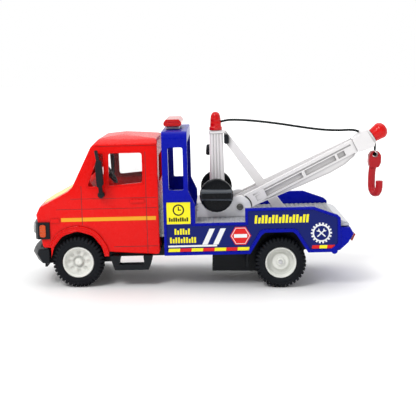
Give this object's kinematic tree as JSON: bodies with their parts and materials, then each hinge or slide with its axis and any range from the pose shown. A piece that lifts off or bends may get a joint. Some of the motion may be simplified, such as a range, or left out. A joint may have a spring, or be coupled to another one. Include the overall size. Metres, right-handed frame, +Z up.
{
  "type": "toy tow truck",
  "caption": "Toy tow truck with a hollow cab, a recovery bed with a light bar, rolling wheels, and a winch mast with a lifting boom and hook.",
  "frame": {"origin": "centre of the overall box on the ground plane under the wheels", "axes": "+X to the truck's rear, +Y to the truck's right-hand side, +Z up"},
  "size_m": [0.185, 0.0708, 0.0876],
  "materials": {
    "red_plastic": "glossy moulded",
    "blue_plastic": "glossy moulded",
    "black_plastic": "satin moulded",
    "grey_plastic": "satin moulded",
    "silver_plastic": "silver pigment, satin",
    "white_plastic": "semi-gloss moulded",
    "tyre_rubber": "dull",
    "clear_glazing": "clear polystyrene",
    "red_lens": "translucent, glossy",
    "orange_lens": "translucent, glossy",
    "clear_lens": "clear, glossy",
    "steel": "bright drawn",
    "black_cord": "twisted cord",
    "hook_red": "satin moulded"
  },
  "bodies": {
    "root": {"bed_body": "blue_plastic", "cab_shell": "red_plastic", "chassis_frame": "black_plastic", "chassis_screw": "steel", "crane_base": "silver_plastic", "dashboard": "grey_plastic", "deck_plate": "silver_plastic", "front_bumper": "black_plastic", "grille_bezel": "black_plastic", "headlamp_left": "clear_lens", "headlamp_right": "clear_lens", "indicator_left": "orange_lens", "indicator_right": "orange_lens", "light_bar_base": "white_plastic", "light_bar_lens": "red_lens", "mainspring": "steel", "mast": "white_plastic", "mast_brace": "white_plastic", "mast_cap": "red_lens", "mirror_left": "black_plastic", "mirror_right": "black_plastic", "motor_housing": "black_plastic", "pivot_screw_left": "black_plastic", "pivot_screw_right": "black_plastic", "rear_glass": "clear_glazing", "rope_guide": "black_plastic", "seat_bench": "grey_plastic", "side_glass_left": "clear_glazing", "side_glass_right": "clear_glazing", "side_step_left": "black_plastic", "side_step_right": "black_plastic", "steering_wheel": "black_plastic", "tail_lamp_left": "red_lens", "tail_lamp_right": "red_lens", "tow_rope": "black_cord", "windscreen": "clear_glazing", "work_lamp": "black_plastic"},
    "front_wheels": {"front_axle": "steel", "rim_front_left": "white_plastic", "rim_front_right": "white_plastic", "tyre_front_left": "tyre_rubber", "tyre_front_right": "tyre_rubber"},
    "rear_wheels": {"rear_axle": "steel", "rim_rear_left": "white_plastic", "rim_rear_right": "white_plastic", "tyre_rear_left": "tyre_rubber", "tyre_rear_right": "tyre_rubber", "axle_gear": "grey_plastic"},
    "motor_gear": {"spring_gear": "grey_plastic"},
    "winch": {"winch_shaft": "steel", "rope_winding": "black_cord", "winch_knob_left": "black_plastic", "winch_knob_right": "black_plastic"},
    "boom": {"boom_beam_left": "white_plastic", "boom_beam_right": "white_plastic", "boom_head": "white_plastic", "boom_cap": "red_lens"},
    "line": {"hook_line": "black_cord"},
    "knot": {"hook_knot": "black_cord"},
    "hook": {"hook": "hook_red"}
  },
  "joints": [
    {"name": "front_roll", "type": "hinge", "parent": "root", "child": "front_wheels", "pos_m": [-0.0674, 0, 0.0129], "axis": [0, 1, 0], "continuous": true},
    {"name": "rear_roll", "type": "hinge", "parent": "root", "child": "rear_wheels", "pos_m": [0.0352, 0, 0.0129], "axis": [0, 1, 0], "continuous": true},
    {"name": "motor_turn", "type": "hinge", "parent": "root", "child": "motor_gear", "pos_m": [0.02351, 0, 0.01603], "axis": [0, 1, 0], "continuous": true},
    {"name": "winch_turn", "type": "hinge", "parent": "root", "child": "winch", "pos_m": [0.00257, 0, 0.04587], "axis": [0, 1, 0], "range_deg": [0, 720]},
    {"name": "boom_lift", "type": "hinge", "parent": "root", "child": "boom", "pos_m": [0.01475, 0, 0.0392], "axis": [0, -1, 0], "range_deg": [-12, 19], "deforming": ["tow_rope"]},
    {"name": "line_swing", "type": "hinge", "parent": "boom", "child": "line", "pos_m": [0.0861, 0, 0.0716], "axis": [0, -1, 0], "range_deg": [-19, 12]},
    {"name": "hook_drop", "type": "slide", "parent": "line", "child": "knot", "axis": [0, 0, -1], "range_m": [0, 0.024], "deforming": ["hook_line"]},
    {"name": "hook_swing", "type": "hinge", "parent": "knot", "child": "hook", "pos_m": [0.0861, 0, 0.0653], "axis": [0, 1, 0], "range_deg": [-20, 20]}
  ],
  "couplings": [
    {"joint": "motor_turn", "follows": "rear_roll", "ratio": -0.6},
    {"joint": "line_swing", "follows": "boom_lift", "ratio": -1},
    {"joint": "hook_drop", "follows": "winch_turn", "m_per_rad": 0.0019}
  ]
}
